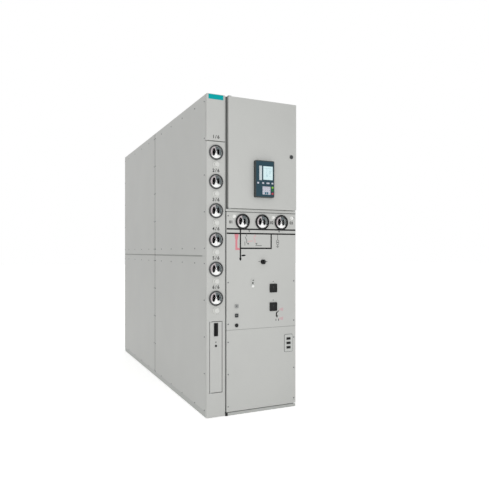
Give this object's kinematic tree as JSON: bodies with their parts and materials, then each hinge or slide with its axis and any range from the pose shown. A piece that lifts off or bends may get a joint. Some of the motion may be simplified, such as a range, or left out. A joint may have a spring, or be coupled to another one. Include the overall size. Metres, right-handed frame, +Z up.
{
  "type": "gas-insulated switchgear panel",
  "caption": "Floor-standing gas-insulated switchgear panel with a control compartment door, relay, mimic board and an end column of round gas density gauges.",
  "frame": {"origin": "bottom centre of the overall box, on the floor", "axes": "+Z up, the front with doors and gauges faces -Y, +X to the right when looking at the front"},
  "size_m": [0.75, 2.7, 2.35],
  "materials": {
    "wall_paint": "light grey powder coat, fine texture",
    "frame_paint": "light grey powder coat",
    "galvanised_sheet": "zinc-coated sheet steel",
    "teal_plate": "teal printed aluminium plate, blank",
    "black_plastic": "moulded black polyamide",
    "lock_steel": "nickel-plated zinc and steel",
    "relay_plastic": "dark slate moulded housing",
    "relay_pane": "pale display window",
    "key_plastic": "pale grey membrane keys",
    "gauge_enamel": "black enamelled gauge case",
    "dial_white": "white enamelled dial",
    "gauge_glass": "flat instrument glass",
    "cap_alloy": "turned aluminium cap",
    "plate_grey": "light grey moulded plate"
  },
  "bodies": {
    "housing": {"base_side_rails": "frame_paint", "base_cross_rails": "frame_paint", "floor_plates": "galvanised_sheet", "front_posts": "galvanised_sheet", "joint_posts": "galvanised_sheet", "rear_posts": "galvanised_sheet", "seam_rails": "galvanised_sheet", "left_front_upper_wall": "wall_paint", "left_front_lower_wall": "wall_paint", "left_rear_upper_wall": "wall_paint", "left_rear_lower_wall": "wall_paint", "right_front_upper_wall": "wall_paint", "right_front_lower_wall": "wall_paint", "right_rear_upper_wall": "wall_paint", "right_rear_lower_wall": "wall_paint", "rear_upper_wall": "wall_paint", "rear_lower_wall": "wall_paint", "roof_front_plate": "wall_paint", "roof_rear_plate": "wall_paint", "column_top_cover": "wall_paint", "column_cover": "wall_paint", "column_locker": "galvanised_sheet", "name_plate": "teal_plate", "slim_door_pivots": "lock_steel", "lv_floor": "wall_paint", "lv_roof": "wall_paint", "lv_left_wall": "wall_paint", "lv_right_wall": "wall_paint", "lv_back_wall": "wall_paint", "lv_door_pivots": "lock_steel", "control_board": "wall_paint", "lower_cover": "wall_paint", "gauge_cases": "gauge_enamel", "gauge_dials": "dial_white", "gauge_glasses": "gauge_glass", "gas_valve_caps": "cap_alloy", "selector_knob": "black_plastic", "crank_shutters": "black_plastic", "board_indicators": "black_plastic", "voltage_socket_plate": "plate_grey", "voltage_socket_caps": "black_plastic"},
    "lv_door_leaf": {"lv_door": "wall_paint", "lv_door_lock": "black_plastic", "relay_case": "relay_plastic", "relay_panes": "relay_pane", "relay_keys": "key_plastic"},
    "slim_door_leaf": {"slim_door": "wall_paint", "slim_door_grip": "black_plastic", "slim_door_lock": "black_plastic"}
  },
  "joints": [
    {"name": "lv_door_hinge", "type": "hinge", "parent": "housing", "child": "lv_door_leaf", "pos_m": [-0.199, -1.31, 1.904], "axis": [0, 0, -1], "range_deg": [0, 120]},
    {"name": "slim_door_hinge", "type": "hinge", "parent": "housing", "child": "slim_door_leaf", "pos_m": [-0.3443, -1.2948, 0.44], "axis": [0, 0, -1], "range_deg": [0, 100]}
  ]
}
